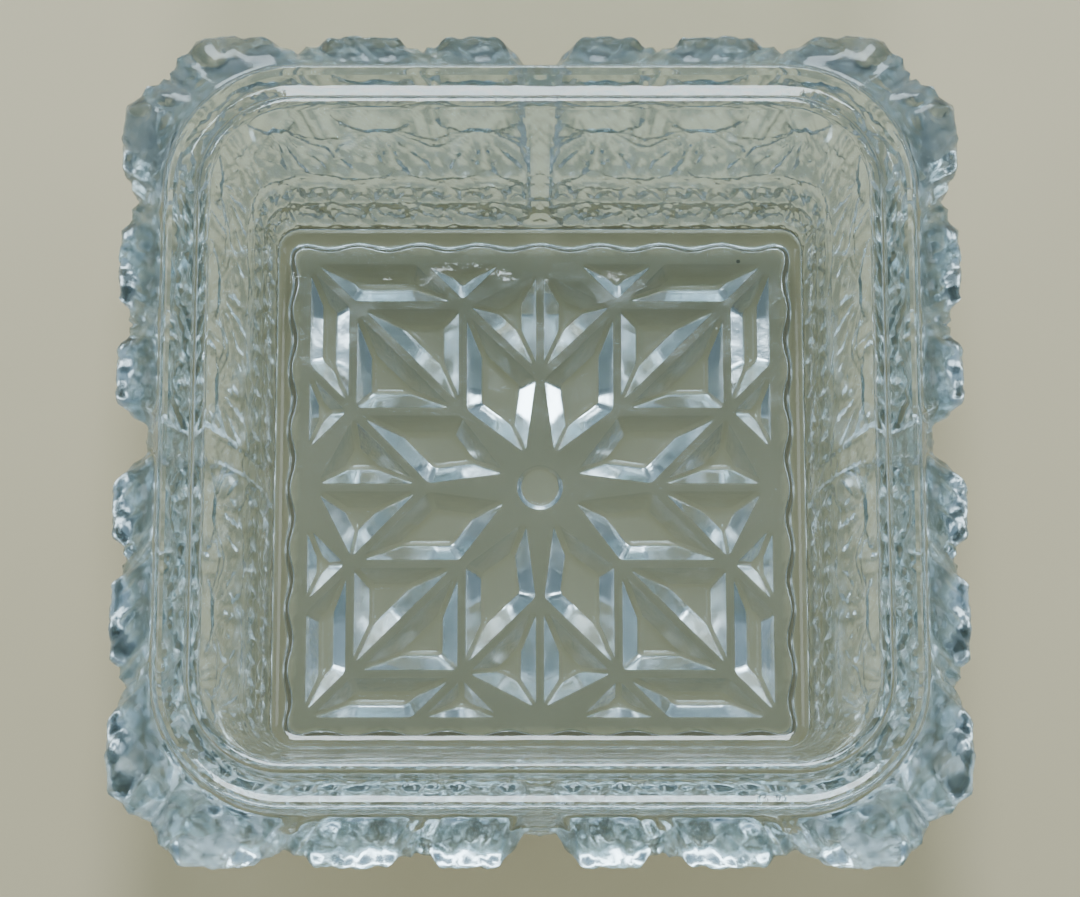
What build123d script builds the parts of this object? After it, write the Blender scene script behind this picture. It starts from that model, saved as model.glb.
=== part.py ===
from build123d import *
import math
import os

# Square butter dish of clear pressed glass: a deep open dish with a scalloped wall, and its lid.
# Millimetres, +Z up. The origin is the centre of the dish's foot, on the surface it stands on.
# The lid is modelled off the dish: it lies upside down on its knob behind the dish (+Y).

# The dish's well and floor
MOUTH_WIDTH = 128.0  # across the well at the top
MOUTH_CORNER = 16.0  # corner radius of the well at the top
WELL_DEPTH = 52.0
WELL_DRAFT = 9.5  # how far each wall leans in over the depth of the well
FLOOR_CORNER = 5.0  # corner radius of the well at the floor
FLOOR_BLEND = 3.0  # fillet between the walls and the floor
FLOOR_THICKNESS = 8.0

# The rim, from the well outwards: raised lip, lid channel, outer bead
LIP_WIDTH = 3.0
CHANNEL_WIDTH = 5.0
BEAD_WIDTH = 1.5
CHANNEL_DEPTH = 2.5  # from the top of the lip
BEAD_DROP = 1.0  # the bead's top below the lip's top
RIM_BLOCK = 12.0  # height of the straight-sided rim
RIM_ROUND = 0.6  # small rounding of the rim's edges

# The scalloped wall below the rim
LOBE_REACH = 10.0  # the lobes' crests beyond the rim
LOBE_RISE = 3.9  # a crest above the dip beside it
GAP_DEPTH = 6.8  # the notch in the middle of each side, below the crests
CREST_DROP = 13.0  # the widest part of the lobes below the rim's top
SKIRT_DROP = 30.0  # where the lobes have died into the lower wall, below the rim's top
SHOULDER_DROP = 4.0  # the top of the lobes below the rim's top
SKIRT_INSET = 8.5  # the lower wall's top inside the rim's outer edge
FOOT_WALL = 4.5  # the foot's outer edge outside the well's floor
LOWER_RISE = 1.0  # height of the scallops on the lower wall
LOBES = ((0.056, 0.268), (0.30, 0.56), (0.61, 0.86))  # each lobe's ends, as shares of the half width

# The star pressed into the underside
STAR_MARGIN = 3.5  # from the edge of the well's floor to the star's panel
STAR_RECESS = 3.6  # depth of the panel
STAR_HEIGHT = 3.0  # height of a facet above the panel
STAR_GROOVE = 2.2  # between two facets
STAR_SLOPE = 42.0  # lean of the facets' sides, in degrees
STAR_CENTRE = 5.2  # radius of the plain disc in the middle

# The lid
LID_CLEARANCE = 0.8  # to the lip and to the bead, all round
SEAT_GAP = 0.2  # under the skirt when the lid is on
LID_WALL = 4.0
SKIRT_HEIGHT = 7.0  # the straight lower part of the lid
DOME_HEIGHT = 40.0  # from the lid's edge to its flat top
DOME_DRAFT = 11.0  # how far the dome leans in on each side
DOME_CORNER = 9.0  # corner radius at the flat top
KNOB_HEIGHT = 17.5
KNOB_NECK = 9.0  # radius
KNOB_CAP = 15.0  # radius
KNOB_CAP_HEIGHT = 8.0
KNOB_ROUND = 1.2
LID_GAP = 17.3  # between the dish's crests and the lid lying behind it

HEIGHT = FLOOR_THICKNESS + WELL_DEPTH
FLOOR_WIDTH = MOUTH_WIDTH - 2 * WELL_DRAFT
LIP_OUTER = MOUTH_WIDTH / 2 + LIP_WIDTH
CHANNEL_OUTER = LIP_OUTER + CHANNEL_WIDTH
RIM_HALF = CHANNEL_OUTER + BEAD_WIDTH
SEAT_LEVEL = HEIGHT - CHANNEL_DEPTH
BEAD_LEVEL = HEIGHT - BEAD_DROP
LID_EDGE = CHANNEL_OUTER - LID_CLEARANCE
LID_HEIGHT = DOME_HEIGHT + KNOB_HEIGHT
CREST_HALF = RIM_HALF + LOBE_REACH
TURN_LINE = (CREST_HALF + LID_GAP + LID_EDGE) / 2  # the lid turns over about this line behind the dish


def corner_radius(half):
    """Corner radius of a rounded square round the well, set off evenly from the mouth."""
    return MOUTH_CORNER + half - MOUTH_WIDTH / 2


def rounded_square(half, radius, level):
    """A rounded square face of the given half width, lying flat at a level."""
    return Pos(0, 0, level) * RectangleRounded(2 * half, 2 * half, radius)


def frustum(low, high):
    """A solid between two rounded squares, each (half width, corner radius, level)."""
    return loft([rounded_square(*low), rounded_square(*high)], ruled=True)


def scallop_side(crest, dip, gap):
    """The edges of the +Y side of a scalloped outline, from -X to +X, as half widths from the middle."""
    ends = [(-outer, -inner) for inner, outer in reversed(LOBES)] + list(LOBES)
    edges = []
    at = None
    for low, high in ends:
        start, end = (low * crest, dip), (high * crest, dip)
        middle = ((low + high) / 2 * crest, crest)
        if low == LOBES[0][0]:
            edges.append(Line(at, (0, gap)))
            edges.append(Line((0, gap), start))
        elif at:
            edges.append(Line(at, start))
        edges.append(ThreePointArc(start, middle, end))
        at = end
    return edges


def scalloped(crest, dip, gap, level):
    """A face with the lobed outline of the dish at a level, with its four corners cut off."""
    side = scallop_side(crest, dip, gap)
    outer = LOBES[-1][1] * crest
    corner = Line((outer, dip), (dip, outer))
    edges = []
    for turn in range(4):
        edges += [edge.rotate(Axis.Z, -90 * turn) for edge in (*side, corner)]
    return Pos(0, 0, level) * make_face(edges)


def wall():
    """The solid outside of the dish: a plain lower wall that flares out into the lobes."""
    foot = FLOOR_WIDTH / 2 + FOOT_WALL
    skirt = RIM_HALF - SKIRT_INSET
    shoulder = CHANNEL_OUTER
    sections = [
        scalloped(foot, foot - LOWER_RISE / 2, foot - LOWER_RISE, 0),
        scalloped(skirt, skirt - LOWER_RISE, skirt - 2 * LOWER_RISE, HEIGHT - SKIRT_DROP),
        scalloped(CREST_HALF, CREST_HALF - LOBE_RISE, CREST_HALF - GAP_DEPTH, HEIGHT - CREST_DROP),
        scalloped(shoulder, shoulder - LOWER_RISE, shoulder - 2 * LOWER_RISE, HEIGHT - SHOULDER_DROP),
    ]
    body = loft(sections[:2], ruled=True)
    for low, high in zip(sections[1:], sections[2:]):
        body += loft([low, high], ruled=True)
    return body


def rim():
    """The straight-sided rim with its outer bead and its raised inner lip."""
    outer = rounded_square(RIM_HALF, corner_radius(RIM_HALF), BEAD_LEVEL - RIM_BLOCK)
    lip = rounded_square(LIP_OUTER, corner_radius(LIP_OUTER), BEAD_LEVEL - RIM_BLOCK)
    bead = extrude(outer, amount=RIM_BLOCK)
    bead = fillet(bead.edges().group_by(Axis.Z)[-1], RIM_ROUND)
    return bead + extrude(lip, amount=RIM_BLOCK + BEAD_DROP)


def channel():
    """The groove in the rim that the lid's edge stands in."""
    top = BEAD_LEVEL + RIM_ROUND
    outer = rounded_square(CHANNEL_OUTER, corner_radius(CHANNEL_OUTER), SEAT_LEVEL)
    lip = rounded_square(LIP_OUTER, corner_radius(LIP_OUTER), SEAT_LEVEL)
    return extrude(outer, amount=top - SEAT_LEVEL) - extrude(lip, amount=top - SEAT_LEVEL)


def well():
    """The hollow that holds the butter, carried on a little above the lip."""
    lean = WELL_DRAFT / WELL_DEPTH
    above = RIM_ROUND
    low = (FLOOR_WIDTH / 2, FLOOR_CORNER, FLOOR_THICKNESS)
    high = (MOUTH_WIDTH / 2 + lean * above, MOUTH_CORNER, HEIGHT + above)
    hollow = frustum(low, high)
    return fillet(hollow.edges().group_by(Axis.Z)[0], FLOOR_BLEND)


def star_cells():
    """The star's facets in one quarter, as corners in shares of the panel's half width."""
    axis, diagonal, tip, side = 0.48, 0.33, 0.80, 0.33
    petal = [(0, 0), (axis, 0), (tip, side), (diagonal, diagonal)]
    other = [(y, x) for x, y in reversed(petal)]
    corner = [(diagonal, diagonal), (tip, side), (tip, tip), (side, tip)]
    return [petal, other, corner]


def star():
    """The facets that stand in the panel, as one compound that reaches down from its ceiling."""
    half = FLOOR_WIDTH / 2 - STAR_MARGIN
    facets = []
    for quarter in range(4):
        for cell in star_cells():
            outline = make_face(Polyline(*[(x * half, y * half) for x, y in cell], close=True))
            inner = offset(outline, amount=-STAR_GROOVE / 2, kind=Kind.INTERSECTION)
            facet = extrude(inner, amount=STAR_HEIGHT, dir=(0, 0, -1), taper=STAR_SLOPE)
            facets.append(Pos(0, 0, STAR_RECESS) * facet.rotate(Axis.Z, 90 * quarter))
    return facets


def panel():
    """The square recess in the underside, with the plain disc left standing in its middle."""
    half = FLOOR_WIDTH / 2 - STAR_MARGIN
    recess = extrude(Rectangle(2 * half, 2 * half), amount=STAR_RECESS)
    disc = Pos(0, 0, STAR_RECESS - STAR_HEIGHT) * Cylinder(
        STAR_CENTRE, STAR_HEIGHT, align=(Align.CENTER, Align.CENTER, Align.MIN)
    )
    return recess - disc


def make_dish():
    """The dish: one piece of pressed glass."""
    body = wall() + rim() - channel() - well() - panel()
    for facet in star():
        body += facet
    return body


def make_lid():
    """The lid as it lies behind the dish, upside down on its knob: one piece of pressed glass."""
    inner_edge = LIP_OUTER + LID_CLEARANCE
    top = LID_EDGE - DOME_DRAFT
    radius, inner_radius = corner_radius(LID_EDGE), corner_radius(inner_edge)
    shell = frustum((LID_EDGE, radius, 0), (LID_EDGE, radius, SKIRT_HEIGHT))
    shell += frustum((LID_EDGE, radius, SKIRT_HEIGHT), (top, DOME_CORNER, DOME_HEIGHT))
    ceiling = DOME_HEIGHT - LID_WALL
    hollow_top = (top - LID_WALL, DOME_CORNER - LID_WALL / 2, ceiling)
    hollow = frustum((inner_edge, inner_radius, 0), (inner_edge, inner_radius, SKIRT_HEIGHT))
    hollow += frustum((inner_edge, inner_radius, SKIRT_HEIGHT), hollow_top)
    align = (Align.CENTER, Align.CENTER, Align.MIN)
    neck = Pos(0, 0, DOME_HEIGHT) * Cylinder(KNOB_NECK, KNOB_HEIGHT, align=align)
    cap = Cylinder(KNOB_CAP, KNOB_CAP_HEIGHT, align=align)
    cap = fillet(cap.edges().filter_by(GeomType.CIRCLE), KNOB_ROUND)
    cap = Pos(0, 0, LID_HEIGHT - KNOB_CAP_HEIGHT) * cap
    lid = shell - hollow + neck + cap
    return Pos(0, 2 * TURN_LINE, LID_HEIGHT) * lid.rotate(Axis.X, 180)


def main():
    os.makedirs("parts", exist_ok=True)
    turn_level = (SEAT_LEVEL + SEAT_GAP + LID_HEIGHT) / 2
    print("lid turns over about x, through y", TURN_LINE, "z", turn_level)
    export_step(make_dish(), "parts/dish.step")
    export_step(make_lid(), "parts/lid.step")


main()
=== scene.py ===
"""Looks of a square pressed-glass butter dish and its knobbed lid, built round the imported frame.

Sizes are metres in the frame's own axes. The dish stands on its foot at the origin and the lid
lies upside down behind it. Each piece is one closed skin of glass: a grid is wrapped round the
piece row by row, from the foot up the outside and down into the well, and the pressed pattern
is part of that skin.
"""

import logging
import math
from dataclasses import dataclass, field, replace
from enum import Enum
from typing import Callable, Sequence

import bmesh
import bpy
import numpy as np
from mathutils import Euler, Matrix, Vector

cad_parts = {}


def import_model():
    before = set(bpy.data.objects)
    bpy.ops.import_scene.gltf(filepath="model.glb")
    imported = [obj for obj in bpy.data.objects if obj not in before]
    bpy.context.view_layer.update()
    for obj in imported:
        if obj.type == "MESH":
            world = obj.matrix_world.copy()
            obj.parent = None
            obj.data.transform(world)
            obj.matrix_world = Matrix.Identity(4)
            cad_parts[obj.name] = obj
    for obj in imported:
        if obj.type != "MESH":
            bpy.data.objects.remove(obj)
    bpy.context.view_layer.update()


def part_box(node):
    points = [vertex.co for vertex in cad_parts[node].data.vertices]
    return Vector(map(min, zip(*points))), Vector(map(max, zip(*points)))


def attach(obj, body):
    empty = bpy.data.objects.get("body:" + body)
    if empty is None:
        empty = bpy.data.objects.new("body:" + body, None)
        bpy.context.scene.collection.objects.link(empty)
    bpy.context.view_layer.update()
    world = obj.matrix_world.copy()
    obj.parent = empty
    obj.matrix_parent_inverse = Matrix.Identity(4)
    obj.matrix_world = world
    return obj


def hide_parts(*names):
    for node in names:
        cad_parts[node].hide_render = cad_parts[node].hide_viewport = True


LOG = logging.getLogger("butter_dish")
MM = 0.001

Profile = Sequence[tuple[float, float]]
Colour = tuple[float, float, float]
COOL: Colour = (0.81, 0.93, 1.0)


class StraightRay(Enum):
    """The kinds of ray that pass straight through the glass, unbent."""

    BOUNCED = "Is Diffuse Ray"
    SHADOW = "Is Shadow Ray"


# ---------------------------------------------------------------- small helpers


def deselect_all() -> None:
    """Leaves nothing selected, so that the next operator acts on its own piece."""
    if bpy.context.object and bpy.context.object.mode != "OBJECT":
        bpy.ops.object.mode_set(mode="OBJECT")
    bpy.ops.object.select_all(action="DESELECT")


def make_active(piece: bpy.types.Object) -> None:
    """Selects one piece alone and makes it the active one.

    Args:
        piece: the object that the next operators work on.
    """
    deselect_all()
    piece.select_set(True)
    bpy.context.view_layer.objects.active = piece


def smoothstep(low: float, high: float, value: np.ndarray) -> np.ndarray:
    """A smooth ramp from 0 at low to 1 at high; low may be the larger.

    Args:
        low: where the ramp gives 0.
        high: where it gives 1.
        value: the places to evaluate.

    Returns:
        The ramp's value at each place.
    """
    share = np.clip((value - low) / (high - low), 0.0, 1.0)
    return share * share * (3.0 - 2.0 * share)


def along(profile: Profile, at: float) -> float:
    """Reads a profile of (place, value) pairs at one place.

    Args:
        profile: pairs in rising order of place.
        at: the place.

    Returns:
        The value there, straight between the pairs.
    """
    places, values = zip(*profile)
    return float(np.interp(at, places, values))


def read_points(piece: bpy.types.Object) -> np.ndarray:
    """Reads a piece's vertices.

    Args:
        piece: a mesh object.

    Returns:
        Their coordinates, in millimetres.
    """
    points = np.empty(len(piece.data.vertices) * 3)
    piece.data.vertices.foreach_get("co", points)
    return points.reshape(-1, 3) / MM


def write_points(piece: bpy.types.Object, points: np.ndarray) -> None:
    """Moves a piece's vertices.

    Args:
        piece: a mesh object.
        points: their new coordinates, in millimetres.
    """
    piece.data.vertices.foreach_set("co", (points * MM).reshape(-1))


def pick_faces(shape: bmesh.types.BMesh, chosen: Callable[[bmesh.types.BMFace], bool]) -> None:
    """Selects faces of a mesh in edit mode.

    Args:
        shape: the mesh.
        chosen: tells whether a face is one of them.
    """
    for face in shape.faces:
        face.select_set(chosen(face))


# ---------------------------------------------------------------- the skin


@dataclass(frozen=True)
class Row:
    """One closed row of the skin: a rounded square at a level.

    Attributes:
        half: half width of the square, in millimetres.
        corner: radius of its corners; as large as half gives a circle.
        level: height of the row, in millimetres.
        relief: gives the outward shift and the upward shift of each point, or None.
    """

    half: float
    corner: float
    level: float
    relief: Callable[["Ring", float], tuple[np.ndarray, np.ndarray]] | None = None


@dataclass(frozen=True)
class Ring:
    """The points of a rounded square, counted round from the middle of one side.

    Attributes:
        x: across, in millimetres.
        y: along, in millimetres.
        out_x: outward direction, across.
        out_y: outward direction, along.
        reach: distance from the middle of the side, along the outline, in millimetres.
        share: that distance as a share of the distance to the corner's middle.
    """

    x: np.ndarray
    y: np.ndarray
    out_x: np.ndarray
    out_y: np.ndarray
    reach: np.ndarray
    share: np.ndarray


@dataclass(frozen=True)
class Wrap:
    """How many steps a skin has round its outline.

    Attributes:
        straight: steps from the middle of a side to the start of its corner.
        corner: steps from there to the middle of the corner.
    """

    straight: int
    corner: int

    @property
    def around(self) -> int:
        """Steps in the whole outline."""
        return 8 * (self.straight + self.corner)

    def ring(self, half: float, corner: float) -> Ring:
        """Places the points of one rounded square.

        Args:
            half: half width, in millimetres.
            corner: corner radius, in millimetres.

        Returns:
            The ring, anticlockwise seen from above.
        """
        count = self.straight + self.corner
        step = np.arange(-count, count)
        size = np.abs(step)
        sign = np.sign(step)
        run = half - corner
        flat = np.minimum(size, self.straight) / self.straight * run
        angle = np.maximum(size - self.straight, 0) / self.corner * (math.pi / 4)
        across = run + corner * np.cos(angle)
        beside = (flat + corner * np.sin(angle)) * sign
        normal_across = np.cos(angle)
        normal_beside = np.sin(angle) * sign
        reach = flat + corner * angle
        full = run + corner * math.pi / 4
        sides = [(across, beside, normal_across, normal_beside)]
        for _ in range(3):
            x, y, u, v = sides[-1]
            sides.append((-y, x, -v, u))
        x, y, u, v = (np.concatenate(part) for part in zip(*sides))
        return Ring(x, y, u, v, np.tile(reach, 4), np.tile(reach / full, 4))


def wrap_skin(name: str, wrap: Wrap, rows: Sequence[Row]) -> bpy.types.Object:
    """Wraps a grid round a piece row by row and closes it at both ends.

    Args:
        name: the new object's name.
        wrap: how the outline is stepped.
        rows: the rows, from the middle of the underside round to the middle of the inside.

    Returns:
        A closed object whose faces point outwards.
    """
    deselect_all()
    around = wrap.around
    bpy.ops.mesh.primitive_grid_add(x_subdivisions=around, y_subdivisions=len(rows) - 1, size=2.0)
    piece = bpy.context.object
    piece.name = name
    piece.data.name = name
    places = np.empty((len(rows), around + 1, 3))
    for index, row in enumerate(rows):
        ring = wrap.ring(row.half, row.corner)
        out, up = row.relief(ring, row.level) if row.relief else (0.0, 0.0)
        x, y = ring.x + ring.out_x * out, ring.y + ring.out_y * out
        points = np.stack([x, y, np.zeros(around) + row.level + up], axis=1)
        places[index, :around] = points
        places[index, around] = points[0]
    write_points(piece, places)
    bpy.ops.object.mode_set(mode="EDIT")
    bpy.ops.mesh.select_all(action="SELECT")
    bpy.ops.mesh.remove_doubles(threshold=1e-7)
    bpy.ops.mesh.select_all(action="DESELECT")
    bpy.ops.mesh.select_mode(type="EDGE")
    bpy.ops.mesh.select_non_manifold()
    bpy.ops.mesh.fill_holes(sides=0)
    bpy.ops.mesh.select_all(action="SELECT")
    bpy.ops.mesh.normals_make_consistent(inside=False)
    bpy.ops.object.mode_set(mode="OBJECT")
    return piece


# ---------------------------------------------------------------- the pressed pattern


@dataclass(frozen=True)
class Lobe:
    """One lobe of the scalloped wall, as shares of the way from a side's middle to its corner."""

    start: float
    end: float

    @property
    def centre(self) -> float:
        """The lobe's middle."""
        return (self.start + self.end) / 2

    @property
    def half(self) -> float:
        """Half the lobe's width."""
        return (self.end - self.start) / 2


@dataclass(frozen=True)
class Fan:
    """A fan of ribs that opens downwards from its root. Millimetres.

    Attributes:
        centre: its middle, as a share of the half side.
        root: level that the ribs run from.
        reach: length of the ribs.
        rise: how far the fan stands out at its edge.
    """

    centre: float
    root: float
    reach: float
    rise: float


@dataclass(frozen=True)
class WallPlace:
    """Where points lie on the outside of a wall.

    Attributes:
        reach: distance from the middle of the side, along the outline, in millimetres.
        share: that distance as a share of the distance to the corner's middle.
        level: height, in millimetres.
        out_x: outward direction, across.
        out_y: outward direction, along.
        base_x: place on the plain wall, across.
        base_y: place on the plain wall, along.
        off: distance outside the plain wall.
        full: distance from the side's middle to the corner's middle.
    """

    reach: np.ndarray
    share: np.ndarray
    level: np.ndarray
    out_x: np.ndarray
    out_y: np.ndarray
    base_x: np.ndarray
    base_y: np.ndarray
    off: np.ndarray
    full: np.ndarray


@dataclass(frozen=True)
class PlainWall:
    """The plain wall that a pattern is pressed on: half width and corner radius by level."""

    halves: Profile
    corners: Profile

    @property
    def low(self) -> float:
        """The wall's lowest level."""
        return self.halves[0][0]

    @property
    def high(self) -> float:
        """The wall's highest level."""
        return self.halves[-1][0]

    def rows(self, step: float) -> list[Row]:
        """Plain rows up the wall.

        Args:
            step: about the distance between two rows.

        Returns:
            The rows, from the lowest level to the highest.
        """
        rise = self.high - self.low
        count = round(rise / step)
        levels = [self.low + rise * index / count for index in range(count + 1)]
        return [Row(along(self.halves, at), along(self.corners, at), at) for at in levels]

    def place(self, points: np.ndarray) -> WallPlace:
        """Finds where points lie on the wall.

        Args:
            points: their coordinates, in millimetres.

        Returns:
            The places.
        """
        level = np.clip(points[:, 2], self.low, self.high)
        half = np.interp(level, *zip(*self.halves))
        corner = np.interp(level, *zip(*self.corners))
        run = half - corner
        x, y = points[:, 0], points[:, 1]
        past_x, past_y = np.maximum(np.abs(x) - run, 0), np.maximum(np.abs(y) - run, 0)
        angle = np.arctan2(past_y, np.maximum(past_x, 1e-9))
        on_x = np.abs(x) >= np.abs(y)
        turn = np.where(on_x, angle, math.pi / 2 - angle)
        aside = np.where(on_x, np.abs(y), np.abs(x))
        bent = (past_x > 0) & (past_y > 0)
        reach = np.where(bent, run + corner * turn, np.minimum(aside, run))
        out_x = np.where(bent, np.cos(angle), np.where(on_x, 1.0, 0.0)) * np.sign(x)
        out_y = np.where(bent, np.sin(angle), np.where(on_x, 0.0, 1.0)) * np.sign(y)
        flat_x = np.where(on_x, np.sign(x) * half, x)
        flat_y = np.where(on_x, y, np.sign(y) * half)
        base_x = np.where(bent, np.sign(x) * run + corner * out_x, flat_x)
        base_y = np.where(bent, np.sign(y) * run + corner * out_y, flat_y)
        off = (x - base_x) * out_x + (y - base_y) * out_y
        full = run + corner * math.pi / 4
        return WallPlace(reach, reach / full, points[:, 2], out_x, out_y, base_x, base_y, off, full)


@dataclass(frozen=True)
class WallPattern:
    """The pattern pressed into the outside of the dish's wall. Millimetres.

    Attributes:
        lobes: the lobes from the middle of a side to its corner.
        rise: how far a lobe's crest stands out beyond the dips.
        gap: how far the notch in a side's middle goes in behind the dips.
        gap_share: half the notch's width, as a share of the half side.
        notch: how far the corner's middle goes in.
        strength: how strongly the lobes stand out, by level.
        eye: level, half length, half height and depth of the hollow eyes under the lobes.
        fans: the fans of both tiers.
        fan_ribs: angle between two ribs, in radians.
        rib_share: how deep the valley between two ribs is, as a share of the fan's rise.
        band: level, half width and height of the wavy band between the tiers.
        wave: height of the band's waves, and how far it hangs down beside the pillar.
        flutes: low and high level, pitch and depth of the short flutes.
        pillar: half width, height and lowest level of the plain pillar in a side's middle.
        plain_above: levels between which the tiers die out upwards.
        plain_below: levels between which they die out downwards.
        tab: level, radius and height of the round tab at its foot.
        crinkle: height of the mould's unevenness.
        flanks: slopes between which painted shade darkens the glass's tint on the pattern's flanks.
    """

    lobes: tuple[Lobe, ...] = (Lobe(0.062, 0.292), Lobe(0.327, 0.610), Lobe(0.665, 0.945))
    rise: float = 3.5
    gap: float = 2.9
    gap_share: float = 0.052
    notch: float = 1.6
    strength: Profile = (
        (27, 0), (31, 0.12), (36, 0.42), (41, 0.8), (45, 1), (50, 1), (54, 0.55), (56.4, 0),
    )
    eye: tuple[float, float, float, float] = (42.0, 8.0, 4.2, 3.4)
    fans: tuple[Fan, ...] = (
        Fan(0.177, 38.5, 12.5, 3.4), Fan(0.322, 37.0, 9.5, 2.6), Fan(0.468, 38.5, 12.5, 3.4),
        Fan(0.636, 37.0, 9.5, 2.6), Fan(0.800, 38.5, 12.5, 3.4), Fan(0.970, 37.0, 10.0, 2.6),
        Fan(0.190, 15.8, 10.6, 2.5), Fan(0.345, 15.0, 8.8, 2.1), Fan(0.480, 15.5, 9.4, 2.4),
        Fan(0.620, 15.0, 8.6, 2.1), Fan(0.770, 15.5, 9.4, 2.4), Fan(0.925, 15.0, 8.6, 2.1),
    )
    fan_ribs: float = 0.48
    rib_share: float = 0.62
    band: tuple[float, float, float] = (24.2, 1.7, 1.3)
    wave: tuple[float, float] = (0.9, 3.4)
    flutes: tuple[float, float, float, float] = (16.4, 21.6, 4.6, 1.3)
    pillar: tuple[float, float, float] = (2.1, 1.1, 5.5)
    plain_above: tuple[float, float] = (40.0, 46.0)
    plain_below: tuple[float, float] = (2.0, 4.5)
    tab: tuple[float, float, float] = (7.5, 4.6, 1.9)
    crinkle: float = 0.16
    flanks: tuple[float, float] = (0.18, 0.95)

    def outline(self, share: np.ndarray) -> np.ndarray:
        """The scalloped outline: 1 on a crest and 0 in a dip.

        Args:
            share: places along the half side.

        Returns:
            The outline's height at each place, as a share of the rise.
        """
        height = np.zeros_like(share)
        for lobe in self.lobes:
            across = np.abs(share - lobe.centre) / lobe.half
            crown = smoothstep(1.0, 0.60, across) * (0.84 + 0.16 * np.cos(across * math.pi / 2))
            shoulder = 0.36 * smoothstep(1.16, 1.02, across)
            height = np.maximum(height, np.maximum(crown, shoulder))
        return height

    def scallops(self, at: WallPlace) -> np.ndarray:
        """The lobes, the notch in a side's middle and the notch in the corner.

        Args:
            at: the places to press.

        Returns:
            How far each place is pressed outwards.
        """
        strength = np.interp(at.level, *zip(*self.strength))
        gap = smoothstep(self.gap_share * 1.7, self.gap_share * 0.7, at.share)
        corner = smoothstep(0.975, 1.0, at.share)
        out = strength * (self.rise * self.outline(at.share) - self.gap * gap - self.notch * corner)
        level, length, height, depth = self.eye
        for lobe in self.lobes:
            aside = (at.share - lobe.centre) * at.full
            size = (aside / length) ** 2 + ((at.level - level) / height) ** 2
            out = out - depth * np.sqrt(np.clip(1.0 - size, 0.0, 1.0))
        return out

    def fan_tiers(self, at: WallPlace) -> np.ndarray:
        """The fans of both tiers, each with a scalloped edge and ribs from its root.

        Args:
            at: the places to press.

        Returns:
            How far each place is pressed outwards.
        """
        out = np.zeros_like(at.share)
        for fan in self.fans:
            aside = (at.share - fan.centre) * at.full
            below = fan.root - at.level
            away = np.hypot(aside, below)
            angle = np.arctan2(aside, below)
            open_side = smoothstep(1.5, 1.15, np.abs(angle))
            rib = np.abs(np.cos(angle * math.pi / self.fan_ribs))
            edge = smoothstep(fan.reach, fan.reach - 2.2, away - 0.8 * rib)
            body = edge * open_side * (0.30 + 0.70 * away / fan.reach)
            valley = self.rib_share * (1 - rib) * smoothstep(2.0, 5.0, away)
            out = np.maximum(out, fan.rise * body * (1 - valley))
        return out

    def middle_band(self, at: WallPlace) -> np.ndarray:
        """The wavy band between the tiers, and the short flutes below it.

        Args:
            at: the places to press.

        Returns:
            How far each place is pressed outwards.
        """
        level, half, height = self.band
        wave, hang = self.wave
        first, pitch = self.fans[0].centre, 0.29
        middle = level + wave * np.cos((at.share - first) * 2 * math.pi / pitch)
        middle = middle - hang * smoothstep(0.16, 0.02, at.share)
        band = height * smoothstep(half + 0.5, half - 0.5, np.abs(at.level - middle))
        low, high, pitch, depth = self.flutes
        shown = smoothstep(low - 0.6, low + 0.8, at.level)
        shown = shown * smoothstep(high + 0.4, high - 0.4, at.level)
        flute = np.abs(np.cos(at.reach * math.pi / pitch))
        return band + shown * depth * flute

    def painted_shade_share(self, at: WallPlace) -> np.ndarray:
        """How much painted shade the pattern gets: from 0 where it lies flat to 1 on its steepest
        flanks.

        Args:
            at: the places to look at.

        Returns:
            The share of painted shade at each place, read from the pattern's steepness.
        """
        step = 0.3

        def rise(up: float, aside: float) -> np.ndarray:
            """The pattern's height at each place shifted up and aside."""
            reach = at.reach + aside
            return self.press(replace(at, level=at.level + up, reach=reach, share=reach / at.full))

        up, aside = rise(step, 0) - rise(-step, 0), rise(0, step) - rise(0, -step)
        return smoothstep(*self.flanks, np.hypot(up, aside) / (2 * step))

    def press(self, at: WallPlace) -> np.ndarray:
        """The whole pattern.

        Args:
            at: the places to press.

        Returns:
            How far each place is pressed outwards.
        """
        out = self.fan_tiers(at) + self.middle_band(at)
        half, height, lowest = self.pillar
        above = smoothstep(lowest - 1, lowest + 1, at.level)
        bar = smoothstep(half + 0.7, half - 0.2, at.reach) * above
        bar = bar * smoothstep(44.0, 38.0, at.level)
        clear = smoothstep(half + 1.6, half + 0.7, at.reach) * above
        out = out * (1 - clear) + bar * height
        level, radius, rise = self.tab
        size = (at.reach**2 + (at.level - level) ** 2) / radius**2
        out = np.maximum(out, rise * np.clip(1.0 - size, 0.0, 1.0) ** 0.4)
        below, above = self.plain_below, self.plain_above
        out = out * smoothstep(*below, at.level) * smoothstep(*reversed(above), at.level)
        uneven = (
            np.sin(at.reach * 1.31 + at.level * 0.57) + np.sin(at.reach * 0.73 - at.level * 1.17)
            + np.sin(at.level * 1.9 + at.reach * 2.3 + 1.0) * 0.7
        )
        ends = smoothstep(self.strength[-1][0], 53.0, at.level) * smoothstep(1.5, 4.0, at.level)
        return out + self.scallops(at) + self.crinkle * uneven * ends


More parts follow.
